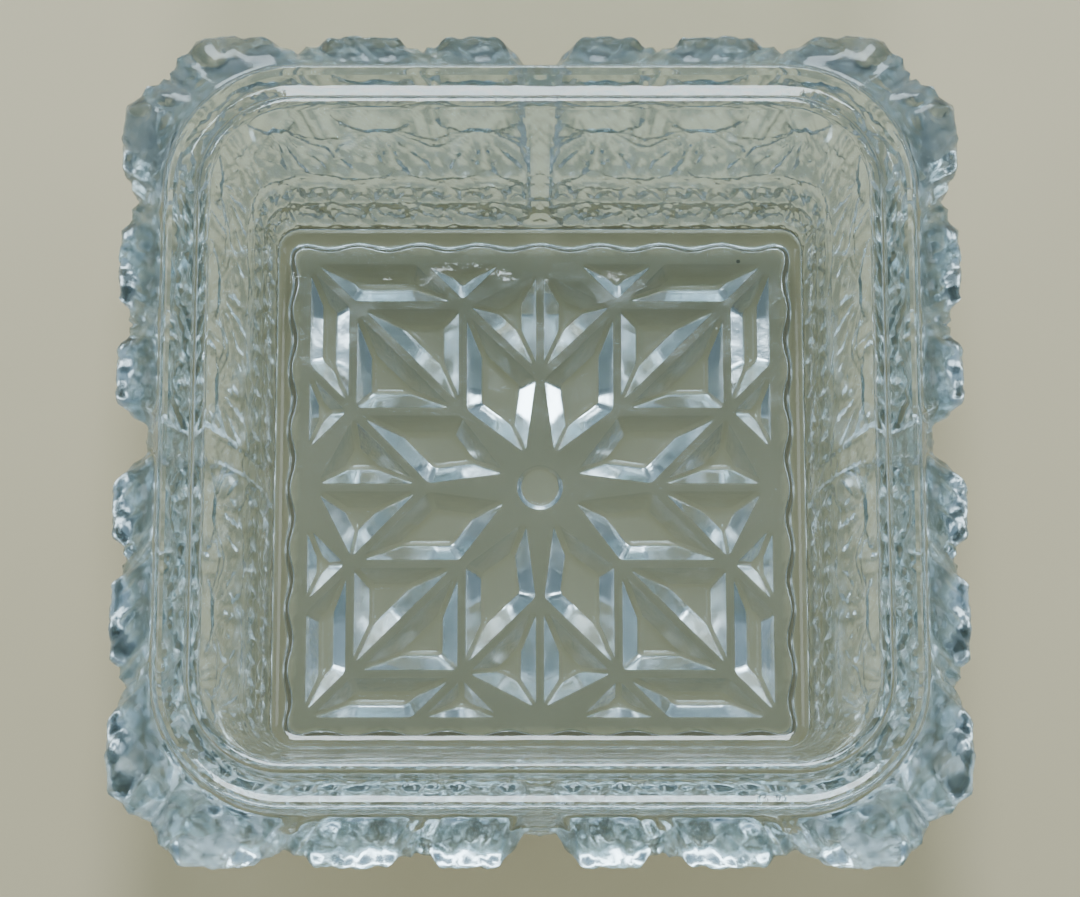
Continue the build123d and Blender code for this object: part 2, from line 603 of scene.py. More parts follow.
def press_wall(piece: bpy.types.Object, wall: PlainWall, pattern: WallPattern) -> None:
    """Divides the faces of a piece's outer wall and presses the pattern into them.

    Args:
        piece: a skin with a plain wall.
        wall: that plain wall.
        pattern: the pattern.
    """
    near, edge = 0.2, 1e-3

    def on_wall(points: np.ndarray, past: float) -> np.ndarray:
        """Tells which points lie on the plain wall, up to a distance past its ends."""
        level = points[:, 2]
        between = (level > wall.low - past) & (level < wall.high + past)
        return (np.abs(wall.place(points).off) < near) & between

    whole = on_wall(read_points(piece), edge)
    make_active(piece)
    bpy.ops.object.mode_set(mode="EDIT")
    bpy.ops.mesh.select_mode(type="FACE")
    bpy.ops.mesh.select_all(action="DESELECT")
    shape = bmesh.from_edit_mesh(piece.data)
    shape.verts.index_update()
    pick_faces(shape, lambda face: all(whole[vertex.index] for vertex in face.verts))
    bmesh.update_edit_mesh(piece.data)
    bpy.ops.mesh.subdivide(number_cuts=1)
    bpy.ops.object.mode_set(mode="OBJECT")
    points = read_points(piece)
    at = wall.place(points)
    inside = on_wall(points, -edge)
    out = pattern.press(at)
    points[inside, 0] = (at.base_x + at.out_x * out)[inside]
    points[inside, 1] = (at.base_y + at.out_y * out)[inside]
    write_points(piece, points)
    # Each point also gets a second value that holds painted shade, darkening the glass on the pattern's
    # steep flanks.
    for name, value in (("pressed", inside.astype(float)), ("painted_shade", pattern.painted_shade_share(at) * inside)):
        piece.data.attributes.new(name, "FLOAT", "POINT").data.foreach_set("value", value)
    piece.data.update()


def inset_corners(corners: np.ndarray, amount: float) -> np.ndarray:
    """Moves each side of a convex outline inwards.

    Args:
        corners: its corners, anticlockwise.
        amount: how far each side moves.

    Returns:
        The corners of the smaller outline.
    """
    ahead = np.roll(corners, -1, axis=0) - corners
    ahead = ahead / np.linalg.norm(ahead, axis=1)[:, None]
    inward = np.stack([-ahead[:, 1], ahead[:, 0]], axis=1)
    moved = []
    for index in range(len(corners)):
        before, after = inward[index - 1], inward[index]
        place = np.linalg.solve(np.array([before, after]), np.array([amount, amount]))
        moved.append(corners[index] + place)
    return np.array(moved)


def room_inside(corners: np.ndarray) -> float:
    """The largest inset that a convex outline takes.

    Args:
        corners: its corners, anticlockwise.

    Returns:
        About the radius of the circle that fits inside.
    """
    low, high = 0.0, float(np.ptp(corners, axis=0).min())
    for _ in range(24):
        middle = (low + high) / 2
        smaller = inset_corners(corners, middle)
        ahead = np.roll(smaller, -1, axis=0) - smaller
        kept = (ahead * (np.roll(corners, -1, axis=0) - corners)).sum(axis=1)
        low, high = (middle, high) if (kept > 0).all() else (low, middle)
    return low


@dataclass(frozen=True)
class Star:
    """The eight-pointed star pressed into the dish's underside. Millimetres.

    Attributes:
        half: half width of the star's square.
        groove: flat way between two facets.
        bevel: width of a facet's sloping side.
        bevel_share: greatest width of it, as a share of the room inside the facet.
        slope: lean of a facet's sides from the panel's plane, in degrees.
        centre: radius of the plain disc in the middle.
        soften: how far a facet's edges are rounded.
        sunk: how far a facet's root reaches into the glass.
        disc_sides: sides of the plain disc.
        disc_bevel: width of the disc's sloping edge.
    """

    half: float
    groove: float = 1.7
    bevel: float = 3.6
    bevel_share: float = 0.76
    slope: float = 44.5
    centre: float = 5.6
    soften: float = 0.8
    sunk: float = 0.8
    disc_sides: int = 32
    disc_bevel: float = 1.1

    def quarter(self) -> list[np.ndarray]:
        """The facets of one quarter, in shares of the half width.

        Returns:
            The corners of each facet, anticlockwise.
        """
        axis, diagonal, tip, wing = 0.48, 0.33, 0.80, 0.33
        side, near, far, edge = 0.97, 0.13, 0.53, 1.0
        hub = self.centre * 1.1 / self.half
        hub_x, hub_y = hub * math.cos(math.pi / 8), hub * math.sin(math.pi / 8)
        eighth = [
            [(hub_x, hub_y), (axis, 0), (tip, wing), (diagonal, diagonal)],
            [(diagonal, diagonal), (tip, wing), (tip, tip)],
            [(axis, 0), (side, 0), (tip, wing)],
            [(tip, wing), (edge, far), (edge, edge), (tip, tip)],
            [(tip, wing), (edge, near), (edge, far)],
        ]
        mirrored = [[(y, x) for x, y in reversed(cell)] for cell in eighth]
        return [np.array(cell, dtype=float) for cell in eighth + mirrored]

    def facet(self, corners: np.ndarray, ceiling: float, bevel: float) -> bpy.types.Object:
        """One facet: a sloping-sided block that hangs from the panel's ceiling.

        Args:
            corners: the facet's cell, in millimetres.
            ceiling: the panel's level.
            bevel: greatest width of its sloping side.

        Returns:
            The closed block.
        """
        outline = inset_corners(corners, self.groove / 2)
        bevel = min(bevel, room_inside(outline) * self.bevel_share)
        deselect_all()
        bpy.ops.mesh.primitive_circle_add(vertices=len(outline), radius=MM, fill_type="NGON")
        block = bpy.context.object
        places = [(x * MM, y * MM, (ceiling + self.sunk) * MM) for x, y in outline]
        block.data.vertices.foreach_set("co", np.array(places).reshape(-1))
        bpy.ops.object.mode_set(mode="EDIT")
        bpy.ops.mesh.select_all(action="SELECT")
        bpy.ops.mesh.normals_make_consistent(inside=False)
        drop = -self.sunk * MM
        bpy.ops.mesh.extrude_region_move(TRANSFORM_OT_translate={"value": (0, 0, drop)})
        bpy.ops.mesh.inset(thickness=bevel * MM, depth=0.0)
        height = bevel * math.tan(math.radians(self.slope))
        bpy.ops.transform.translate(value=(0, 0, -height * MM))
        bpy.ops.mesh.select_all(action="SELECT")
        bpy.ops.mesh.normals_make_consistent(inside=False)
        self.round_ridges(block, ceiling - height / 2)
        bpy.ops.object.mode_set(mode="OBJECT")
        return block

    def round_ridges(self, block: bpy.types.Object, below: float) -> None:
        """Rounds the edges of a facet that reach below a level.

        Args:
            block: the facet, in edit mode.
            below: the level.
        """
        bpy.ops.mesh.select_mode(type="EDGE")
        bpy.ops.mesh.select_all(action="DESELECT")
        shape = bmesh.from_edit_mesh(block.data)
        for edge in shape.edges:
            edge.select_set(any(vertex.co.z < below * MM for vertex in edge.verts))
        bmesh.update_edit_mesh(block.data)
        bpy.ops.mesh.bevel(
            offset=self.soften * MM, segments=4, profile=0.5, affect="EDGES", clamp_overlap=True
        )

    def facets(self, ceiling: float) -> bpy.types.Object:
        """Every facet of the star, joined in one object.

        Args:
            ceiling: the panel's level.

        Returns:
            The joined facets, which don't touch each other.
        """
        blocks = [self.facet(cell * self.half, ceiling, self.bevel) for cell in self.quarter()]
        turns = np.arange(self.disc_sides) * 2 * math.pi / self.disc_sides
        disc = self.centre * np.stack([np.cos(turns), np.sin(turns)], axis=1)
        copies = [self.facet(disc, ceiling, self.disc_bevel)]
        for turn in range(1, 4):
            for block in blocks:
                copy = block.copy()
                copy.data = block.data.copy()
                bpy.context.collection.objects.link(copy)
                copy.data.transform(Euler((0, 0, turn * math.pi / 2)).to_matrix().to_4x4())
                copies.append(copy)
        deselect_all()
        for block in (*blocks, *copies):
            block.select_set(True)
        bpy.context.view_layer.objects.active = blocks[0]
        bpy.ops.object.join()
        return blocks[0]


# ---------------------------------------------------------------- finishes


class NodeBench:
    """Adds and links the nodes of one tree."""

    def __init__(self, tree: bpy.types.NodeTree) -> None:
        """Takes the tree to work on.

        Args:
            tree: a material's, a world's or a group's tree.
        """
        self.nodes, self.links = tree.nodes, tree.links

    def feed(self, socket: bpy.types.NodeSocket, value: object) -> None:
        """Links a socket to another one, or gives it a plain value.

        Args:
            socket: the input to feed.
            value: an output socket, a number or a colour.
        """
        if isinstance(value, bpy.types.NodeSocket):
            self.links.new(value, socket)
        elif isinstance(value, tuple):
            socket.default_value = (*value, 1.0)
        else:
            socket.default_value = value

    def add(self, kind: str, **inputs: object) -> bpy.types.Node:
        """Adds a node.

        Args:
            kind: the node's type, without its leading word.
            inputs: what to feed its inputs, by name.

        Returns:
            The node.
        """
        node = self.nodes.new(f"ShaderNode{kind}")
        for name, value in inputs.items():
            self.feed(node.inputs[name], value)
        return node

    def maths(self, operation: str, *values: object) -> bpy.types.NodeSocket:
        """The outcome of a sum on sockets or numbers.

        Args:
            operation: the Math node's operation.
            values: what it works on.

        Returns:
            The outcome's socket.
        """
        node = self.nodes.new("ShaderNodeMath")
        node.operation = operation
        for socket, value in zip(node.inputs, values):
            self.feed(socket, value)
        return node.outputs[0]

    def blend(self, share: object, first: object, second: object) -> bpy.types.NodeSocket:
        """The blend of two colours.

        Args:
            share: how much of the second one.
            first: a socket or a colour.
            second: a socket or a colour.

        Returns:
            The blended colour's socket.
        """
        node = self.nodes.new("ShaderNodeMix")
        node.data_type = "RGBA"
        sockets = [socket for socket in node.inputs if socket.type == "RGBA"]
        for socket, value in zip((node.inputs["Factor"], *sockets), (share, first, second)):
            self.feed(socket, value)
        return next(socket for socket in node.outputs if socket.type == "RGBA")


def build_ripple_group() -> bpy.types.NodeTree:
    """The shared surface of pressed glass: slow waves, fine pits, haze, small dark specks and painted
    shade where the glass is marked for it.

    Returns:
        A node group with a bump height, a roughness and a colour with painted shade in it.
    """
    pit_height, speck_cells, speck_size, speck_rarity = 0.05, 95.0, 0.045, 0.80
    group = bpy.data.node_groups.new("pressed_surface", "ShaderNodeTree")
    numbers = ("Wave Scale", "Pit Scale", "Haze Low", "Haze High", "Pressed", "Mould", "Painted_shade")
    for kind, ways in (
        ("Color", {"INPUT": ("Clear", "Speck", "Shaded"), "OUTPUT": ("Colour",)}),
        ("Float", {"INPUT": numbers, "OUTPUT": ("Height", "Roughness")}),
    ):
        for way, names in ways.items():
            for name in names:
                group.interface.new_socket(name, in_out=way, socket_type=f"NodeSocket{kind}")
    bench = NodeBench(group)
    entry = bench.nodes.new("NodeGroupInput").outputs
    leave = bench.nodes.new("NodeGroupOutput").inputs
    place = bench.add("TexCoord").outputs["Object"]
    wave = bench.add("TexNoise", Vector=place, Scale=entry["Wave Scale"], Detail=2.0)
    pits = bench.add("TexNoise", Vector=place, Scale=entry["Pit Scale"], Detail=3.0)
    wave, pits = wave.outputs["Fac"], pits.outputs["Fac"]
    bench.feed(leave["Height"], bench.maths("ADD", wave, bench.maths("MULTIPLY", pits, pit_height)))
    spread = bench.maths("SUBTRACT", entry["Haze High"], entry["Haze Low"])
    haze = bench.maths("MULTIPLY", bench.maths("POWER", pits, 2.0), spread)
    polished = bench.maths("ADD", haze, entry["Haze Low"])
    mould = bench.maths("MULTIPLY", entry["Pressed"], entry["Mould"])
    bench.feed(leave["Roughness"], bench.maths("ADD", polished, mould))
    cells = bench.add("TexVoronoi", Vector=place, Scale=speck_cells)
    rare = bench.add("SeparateColor", Color=cells.outputs["Color"])
    near = bench.maths("LESS_THAN", cells.outputs["Distance"], speck_size)
    chosen = bench.maths("GREATER_THAN", rare.outputs["Red"], speck_rarity)
    # Painted shade: the tint is blended towards the shaded colour where the glass is marked for it, on
    # steep flanks and in the star's grooves.
    depth = bench.blend(entry["Painted_shade"], entry["Clear"], entry["Shaded"])
    speck = bench.maths("MULTIPLY", near, chosen)
    bench.feed(leave["Colour"], bench.blend(speck, depth, entry["Speck"]))
    return group


@dataclass(frozen=True)
class PressedGlass:
    """Clear pressed glass, fire polished, with a faint cool tint, drawn darker by painted shade where
    the piece is marked for it.

    Attributes:
        name: the material's name.
        tint: colour of the glass.
        shaded: painted shade colour, drawn on the steep flanks of the pressed pattern and in the star's
            grooves.
        speck: colour of the small inclusions.
        shade: colour that the glass gives its shadow.
        bend: index of refraction.
        wave: distance that the slow waves lift the surface, in metres.
        wave_scale: slow waves to the metre.
        pit_scale: fine pits to the metre.
        haze: least and greatest roughness.
        mould: further roughness where the mould's pattern was pressed.
    """

    name: str
    tint: Colour = (0.77, 0.885, 0.925)
    shaded: Colour = (0.20, 0.26, 0.29)
    speck: Colour = (0.05, 0.06, 0.05)
    shade: Colour = (0.68, 0.68, 0.64)
    bend: float = 1.50
    wave: float = 0.0004
    wave_scale: float = 60.0
    pit_scale: float = 900.0
    haze: tuple[float, float] = (0.01, 0.07)
    mould: float = 0.09

    def build(self, surface: bpy.types.NodeTree) -> bpy.types.Material:
        """Makes the material.

        Args:
            surface: the shared pressed surface.

        Returns:
            The finished material.
        """
        material = bpy.data.materials.new(self.name)
        material.use_nodes = True
        bench = NodeBench(material.node_tree)
        glass = bench.nodes["Principled BSDF"]
        glass.inputs["Transmission Weight"].default_value = 1.0
        glass.inputs["IOR"].default_value = self.bend
        skin = bench.nodes.new("ShaderNodeGroup")
        skin.node_tree = surface
        values = {
            "Clear": self.tint, "Speck": self.speck, "Shaded": self.shaded,
            "Wave Scale": self.wave_scale, "Pit Scale": self.pit_scale,
            "Haze Low": self.haze[0], "Haze High": self.haze[1], "Mould": self.mould,
        }
        # The second mark read here is painted shade, which darkens the tint towards the shaded colour.
        for attribute in ("pressed", "painted_shade"):
            mark = bench.add("Attribute")
            mark.attribute_name = attribute
            values[attribute.capitalize()] = mark.outputs["Fac"]
        for name, value in values.items():
            bench.feed(skin.inputs[name], value)
        bump = bench.add("Bump", Strength=1.0, Distance=self.wave, Height=skin.outputs["Height"])
        bench.feed(glass.inputs["Normal"], bump.outputs["Normal"])
        bench.feed(glass.inputs["Roughness"], skin.outputs["Roughness"])
        bench.feed(glass.inputs["Base Color"], skin.outputs["Colour"])
        through = bench.add("BsdfTransparent", Color=self.shade)
        path = bench.add("LightPath")
        shown = glass.outputs[0]
        for ray in StraightRay:
            mix = bench.nodes.new("ShaderNodeMixShader")
            for socket, value in zip(mix.inputs, (path.outputs[ray.value], shown, through.outputs[0])):
                bench.feed(socket, value)
            shown = mix.outputs[0]
        bench.feed(bench.nodes["Material Output"].inputs["Surface"], shown)
        return material


@dataclass(frozen=True)
class PaleFloor:
    """A pale warm floor with a faint grain, fading far from the dish to painted shade.

    Attributes:
        light: the lighter colour.
        dark: the darker colour.
        painted_room_shade: painted shade far from the dish, a dim cool grey standing in for the dim
            room round the table.
        near: distance at which that colour begins, in metres.
        far: distance from which it is full.
        grain: grain spots to the metre.
    """

    light: Colour = (0.57, 0.465, 0.285)
    dark: Colour = (0.51, 0.41, 0.245)
    painted_room_shade: Colour = (0.30, 0.335, 0.35)
    near: float = 0.125
    far: float = 0.55
    grain: float = 12.0

    def build(self) -> bpy.types.Material:
        """Makes the material.

        Returns:
            The finished material.
        """
        material = bpy.data.materials.new("pale_floor")
        material.use_nodes = True
        bench = NodeBench(material.node_tree)
        paint = bench.nodes["Principled BSDF"]
        paint.inputs["Roughness"].default_value = 0.55
        place = bench.add("TexCoord").outputs["Object"]
        noise = bench.add("TexNoise", Vector=place, Scale=self.grain, Detail=4.0)
        ramp = bench.add("ValToRGB", Fac=noise.outputs["Fac"])
        for element, colour in zip(ramp.color_ramp.elements, (self.dark, self.light)):
            element.color = (*colour, 1.0)
        away = bench.nodes.new("ShaderNodeVectorMath")
        away.operation = "LENGTH"
        bench.feed(away.inputs[0], place)
        fade = bench.nodes.new("ShaderNodeMapRange")
        fade.interpolation_type = "SMOOTHSTEP"
        for name, value in (
            ("From Min", self.near), ("From Max", self.far), ("Value", away.outputs["Value"]),
        ):
            bench.feed(fade.inputs[name], value)
        # Painted shade: far from the dish the floor fades to a dim cool grey that stands in for the dim
        # room.
        colour = bench.blend(fade.outputs["Result"], ramp.outputs["Color"], self.painted_room_shade)
        bench.feed(paint.inputs["Base Color"], colour)
        return material


def dress(piece: bpy.types.Object, material: bpy.types.Material) -> None:
    """Gives a piece its material and shades its flatter edges smooth.

    Args:
        piece: the finished mesh object.
        material: its finish.
    """
    piece.data.materials.clear()
    piece.data.materials.append(material)
    make_active(piece)
    bpy.ops.object.shade_smooth_by_angle(angle=math.radians(40.0))


# ---------------------------------------------------------------- the dish


@dataclass
class Dish:
    """The open dish. Millimetres.

    Attributes:
        wrap: how its skin is stepped.
        mouth: half width of the well at its top, and its corner radius.
        floor: half width of the well at its floor, and its corner radius.
        floor_level: level of the well's floor.
        height: level of the rim's lip.
        lip: width of the raised lip.
        channel: width of the lid's channel.
        bead: width of the bead outside it.
        seat_level: level of the channel's bottom.
        bead_level: level of the bead's top.
        panel: half width of the recess under the floor, and its corner radius.
        panel_level: level of the recess's ceiling.
        foot: half width of the foot, and its corner radius.
        wall: the plain wall that the pattern is pressed on.
        row_step: distance between two rows of that wall.
        edge_wave: height and pitch of the waves in the recess's edge.
        painted_groove_shade: how strong the painted shade in the star's grooves is, from 0 to 1.
        pattern: the pressed pattern.
    """

    wrap: Wrap = Wrap(42, 8)
    mouth: tuple[float, float] = (64.0, 16.0)
    floor: tuple[float, float] = (54.5, 5.0)
    floor_level: float = 8.0
    height: float = 60.0
    lip: float = 3.0
    channel: float = 5.0
    bead: float = 1.5
    seat_level: float = 57.5
    bead_level: float = 59.0
    panel: tuple[float, float] = (51.0, 1.5)
    panel_level: float = 3.8
    foot: tuple[float, float] = (58.4, 8.0)
    wall: PlainWall = PlainWall(
        ((1.0, 58.9), (8, 59.8), (20, 61.8), (27, 63.8), (33, 68.0), (40, 73.8), (45, 78.2), (47, 79.5),
         (49, 79.2), (53, 76.4), (56.6, 73.9)),
        ((1.0, 8.0), (30, 10.0), (47, 15.0), (52, 17.0), (56.6, 25.0)),
    )
    row_step: float = 1.18
    edge_wave: tuple[float, float] = (0.55, 12.7)
    painted_groove_shade: float = 0.5
    pattern: WallPattern = field(default_factory=WallPattern)

    @property
    def star_half(self) -> float:
        """Half width of the square that holds the star."""
        return self.panel[0] - 0.5

    @property
    def star_top(self) -> float:
        """Level just above the recess's ceiling."""
        return self.panel_level + 0.3

    def ripple(self, ring: Ring, level: float) -> tuple[np.ndarray, np.ndarray]:
        """Makes the recess's edge wavy.

        Args:
            ring: the row's points.
            level: the row's height; not used.

        Returns:
            The outward and the upward shift of each point.
        """
        height, pitch = self.edge_wave
        fade = smoothstep(1.0, 0.93, ring.share)
        return height * fade * np.cos(ring.reach * 2 * math.pi / pitch), np.zeros_like(fade)

    def under_rows(self) -> list[Row]:
        """The recess under the floor and the foot round it."""
        half, corner = self.panel
        foot, foot_corner = self.foot
        return [
            Row(half - 1.4, corner, self.panel_level),
            Row(half - 0.7, corner, self.panel_level, self.ripple),
            Row(half, corner, self.panel_level, self.ripple),
            Row(half + 0.4, corner, self.panel_level - 0.5, self.ripple),
            Row(half + 1.2, corner + 0.3, 0.7, self.ripple),
            Row(half + 1.6, corner + 0.5, 0.2, self.ripple),
            Row(half + 2.2, corner + 1.0, 0.0, self.ripple),
            Row(foot - 0.8, foot_corner - 0.8, 0.0),
            Row(foot - 0.2, foot_corner - 0.2, 0.12),
            Row(foot + 0.4, foot_corner, 0.5),
        ]

    def rim_rows(self) -> list[Row]:
        """The rim: outer bead, lid channel and raised lip."""
        mouth, mouth_corner = self.mouth

        def at(out: float, level: float) -> Row:
            """A row at a distance out from the well's mouth."""
            return Row(mouth + out, mouth_corner + out, level)

        edge = self.lip + self.channel + self.bead
        lip, seat, bead, top = self.lip, self.seat_level, self.bead_level, self.height
        runs = (1.0, 0.75, 0.5, 0.25, 0, -0.3, -0.6, -0.9)
        return [
            at(edge, bead - 1.6), at(edge, bead - 0.8), at(edge - 0.1, bead - 0.35),
            at(edge - 0.35, bead - 0.08), at(edge - 0.7, bead), at(edge - 1.05, bead - 0.12),
            at(edge - 1.4, bead - 0.5),
            *[at(lip + 2.45 + 2.2 * run, seat + 0.32 * run * run) for run in runs],
            at(lip + 0.1, seat + 0.75), at(lip, seat + 1.5),
            at(lip - 0.2, top - 0.5), at(lip - 0.6, top - 0.12), at(lip - 1.1, top),
            at(1.2, top), at(0.6, top - 0.15), at(0.2, top - 0.5), at(0.0, top - 1.1),
        ]

    def well_rows(self) -> list[Row]:
        """The smooth well: its walls, the blend and the floor."""
        (mouth, mouth_corner), (floor, floor_corner) = self.mouth, self.floor
        steps, blend = 5, 3.0
        start, end = self.height - 1.1, self.floor_level + blend + 0.2
        rows = []
        for step in range(1, steps):
            level = start + (end - start) * (step / steps)
            lean = (self.height - level) / (self.height - self.floor_level)
            half = mouth + (floor - mouth) * lean
            rows.append(Row(half, mouth_corner + (floor_corner - mouth_corner) * lean, level))
        for step in range(0, 7):
            turn = step / 6 * (math.pi / 2)
            half = floor + 0.45 - blend + blend * math.cos(turn)
            level = self.floor_level + blend - blend * math.sin(turn)
            rows.append(Row(half, floor_corner + 0.3 - 0.3 * step, level))
        rows.append(Row(floor - 3.4, 2.8, self.floor_level))
        rows.append(Row(floor - 4.4, 2.6, self.floor_level))
        return rows

    def build(self, material: bpy.types.Material) -> bpy.types.Object:
        """Builds the dish and stands the star's facets in its underside.

        Args:
            material: the glass.

        Returns:
            The finished piece.
        """
        rows = self.under_rows() + self.wall.rows(self.row_step) + self.rim_rows() + self.well_rows()
        body = wrap_skin("dish_glass", self.wrap, rows)
        press_wall(body, self.wall, self.pattern)
        star = Star(half=self.panel[0] - 2.2)
        facets = star.facets(self.panel_level)
        make_active(body)
        union = body.modifiers.new("star", "BOOLEAN")
        union.operation = "UNION"
        union.solver = "EXACT"
        union.object = facets
        bpy.ops.object.modifier_apply(modifier=union.name)
        bpy.data.objects.remove(facets, do_unlink=True)
        dress(body, material)
        self.sharpen_star(body)
        self.mark_star(body)
        return body

    def mark_star(self, body: bpy.types.Object) -> None:
        """Marks the star's facets as pressed by the mould, and gives the grooves between them painted
        shade, so they are drawn darker.

        Args:
            body: the finished dish.
        """
        points = read_points(body)
        inside = (points[:, 2] < self.star_top) & (np.abs(points[:, :2]).max(axis=1) < self.star_half)
        groove = points[:, 2] > self.panel_level - 0.1
        # The grooves get painted shade, a darker tint standing in for the shade in these recesses.
        for name, new in (("pressed", np.ones(len(points))), ("painted_shade", self.painted_groove_shade * groove)):
            mark = body.data.attributes[name].data
            values = np.empty(len(points))
            mark.foreach_get("value", values)
            mark.foreach_set("value", np.where(inside, new, values))

    def sharpen_star(self, body: bpy.types.Object) -> None:
        """Shades the star's facets flat, so that each is a clean plane.

        Args:
            body: the finished dish.
        """
        top, half = self.star_top * MM, self.star_half * MM

        def on_star(face: bmesh.types.BMFace) -> bool:
            """Tells whether a face belongs to the star."""
            centre = face.calc_center_median()
            return centre.z < top and max(abs(centre.x), abs(centre.y)) < half

        bpy.ops.object.mode_set(mode="EDIT")
        bpy.ops.mesh.select_mode(type="FACE")
        bpy.ops.mesh.select_all(action="DESELECT")
        pick_faces(bmesh.from_edit_mesh(body.data), on_star)
        bmesh.update_edit_mesh(body.data)
        bpy.ops.mesh.faces_shade_flat()
        bpy.ops.object.mode_set(mode="OBJECT")


# ---------------------------------------------------------------- the lid


@dataclass
class Lid:
    """The lid, as it lies upside down behind the dish. Millimetres, measured lid side up.

    Attributes:
        wrap: how its skin is stepped.
        edge: half width of the skirt, and its corner radius.
        inner: half width inside the skirt, and its corner radius.
        skirt: height of the straight skirt.
        top: half width of the flat top, and its corner radius.
        dome: height of the flat top.
        wall: thickness of the glass.
        knob_height: how far the knob stands above the top.
        neck: radius of the knob's neck.
        cap: radius of the knob's cap.
        cap_height: thickness of the cap.
        behind: distance from the dish's middle to the lid's middle.
        rays: rays pressed round the knob.
        fan: half width, height and depth of the fans in the dome's wall.
        fan_ribs: angle between two ribs of a fan, in radians.
    """

    wrap: Wrap = Wrap(60, 14)
    edge: tuple[float, float] = (71.2, 23.2)
    inner: tuple[float, float] = (67.8, 19.8)
    skirt: float = 7.0
    top: tuple[float, float] = (60.2, 9.0)
    dome: float = 40.0
    wall: float = 4.0
    knob_height: float = 17.5
    neck: float = 9.0
    cap: float = 15.0
    cap_height: float = 8.0
    behind: float = 172.0
    rays: int = 16
    fan: tuple[float, float, float] = (10.0, 25.0, 0.9)
    fan_ribs: float = 0.30

    def wall_press(self, ring: Ring, level: float) -> tuple[np.ndarray, np.ndarray]:
        """Fans pressed into the dome's wall, in step with the dish's lobes.

        Args:
            ring: the row's points.
            level: the row's height.

        Returns:
            The outward and the upward shift of each point.
        """
        pattern = WallPattern()
        width, height, depth = self.fan
        root = self.skirt + 2.0
        out = np.zeros_like(ring.share)
        scale = ring.reach.max()
        for lobe in pattern.lobes:
            aside = (ring.share - lobe.centre) * scale
            above = level - root
            body = smoothstep(1.0, 0.75, (aside / width) ** 2 + (above / height) ** 2)
            body = body * smoothstep(0.0, 4.0, np.full_like(aside, above))
            rib = 0.5 - 0.5 * np.cos(np.arctan2(aside, above) * 2 * math.pi / self.fan_ribs)
            fade = smoothstep(5.0, 12.0, np.hypot(aside, above))
            out = np.maximum(out, body * (1 - 0.6 * rib * fade))
        return -depth * out, np.zeros_like(out)

    def top_press(self, ring: Ring, level: float) -> tuple[np.ndarray, np.ndarray]:
        """Rays pressed into the flat top round the knob.

        Args:
            ring: the row's points.
            level: the row's height; not used.

        Returns:
            The outward and the upward shift of each point.
        """
        away = np.hypot(ring.x, ring.y)
        turn = np.arctan2(ring.y, ring.x)
        ray = np.abs(np.mod(turn * self.rays / (2 * math.pi) + 0.5, 1.0) - 0.5) * 2
        shown = smoothstep(15.0, 20.0, away) * smoothstep(54.0, 48.0, away)
        return np.zeros_like(away), -1.1 * shown * np.clip(1 - ray * 1.6, 0, 1)

    def rows(self) -> list[Row]:
        """The skin's rows, from the middle of the inside round the edge to the knob's top.

        Returns:
            The rows, measured lid side up.
        """
        (edge, radius), (inner, inner_radius), (top, top_radius) = self.edge, self.inner, self.top
        ceiling, inside, outside = self.dome - self.wall, 3.0, 2.2
        hollow, hollow_radius = top - self.wall, top_radius - 2.0
        rows = [Row(hollow - out, hollow_radius, ceiling) for out in (5, 3.6)]
        for step in range(1, 6):
            turn = step / 5 * (math.pi / 2)
            half = hollow - inside + inside * math.sin(turn)
            rows.append(Row(half, hollow_radius, ceiling - inside + inside * math.cos(turn)))
        for step in range(1, 10):
            share = step / 9
            level = ceiling - inside + (self.skirt - ceiling + inside) * share
            corner = hollow_radius + (inner_radius - hollow_radius) * share
            rows.append(Row(hollow + (inner - hollow) * share, corner, level))
        rim = ((0, 4), (0, 0.9), (0.3, 0.25), (0.9, 0.0))
        rows += [Row(inner + out, inner_radius + out, level) for out, level in rim]
        rows += [Row(edge - 0.9, radius - 0.9, 0.0), Row(edge - 0.3, radius - 0.3, 0.25)]
        rows += [Row(edge, radius, level) for level in (0.9, 4, 6.6)]
        count = 36
        for step in range(count + 1):
            level = self.skirt + (self.dome - outside - self.skirt) * (step / count)
            lean = (level - self.skirt) / (self.dome - self.skirt)
            corner = radius + (top_radius - radius) * lean
            rows.append(Row(edge + (top - edge) * lean, corner, level, self.wall_press))
        for step in range(1, 6):
            turn = step / 5 * (math.pi / 2)
            half = top + 0.6 - outside + outside * math.cos(turn)
            rows.append(Row(half, top_radius, self.dome - outside + outside * math.sin(turn)))
        spread, margin, end = 26, 1.6, self.neck + 2.2
        for step in range(1, spread + 1):
            share = step / spread
            half = (top - margin) + (end - top + margin) * share
            corner = top_radius + (min(half, end) - top_radius) * share
            rows.append(Row(half, corner, self.dome, self.top_press))
        full = self.dome + self.knob_height
        under = full - self.cap_height
        knob = [
            *[(self.neck + out, self.dome + up) for out, up in ((0.9, 0.4), (0.25, 1.3), (0, 2.8))],
            *[(self.neck + out, under - down) for out, down in ((0, 2.6), (0.4, 1.2), (1.6, 0.2))],
            *[(self.cap - back, under + up) for back, up in ((2.2, 0.9), (0.6, 2.2), (0, 3.6))],
            *[(self.cap - back, full - down) for back, down in (
                (0, 2.4), (0.4, 1.1), (1.3, 0.3), (2.4, 0), (4.0, 0), (5.0, 0))],
        ]
        rows += [Row(reach, reach * 0.999, level) for reach, level in knob]
        return rows

    def build(self, material: bpy.types.Material) -> bpy.types.Object:
        """Builds the lid and lays it upside down behind the dish.

        Args:
            material: the glass.

        Returns:
            The finished piece.
        """
        body = wrap_skin("lid_glass_piece", self.wrap, self.rows())
        turned = Euler((math.pi, 0, 0)).to_matrix().to_4x4()
        turned.translation = Vector((0, self.behind, self.dome + self.knob_height)) * MM
        body.data.transform(turned)
        dress(body, material)
        return body


# ---------------------------------------------------------------- the studio


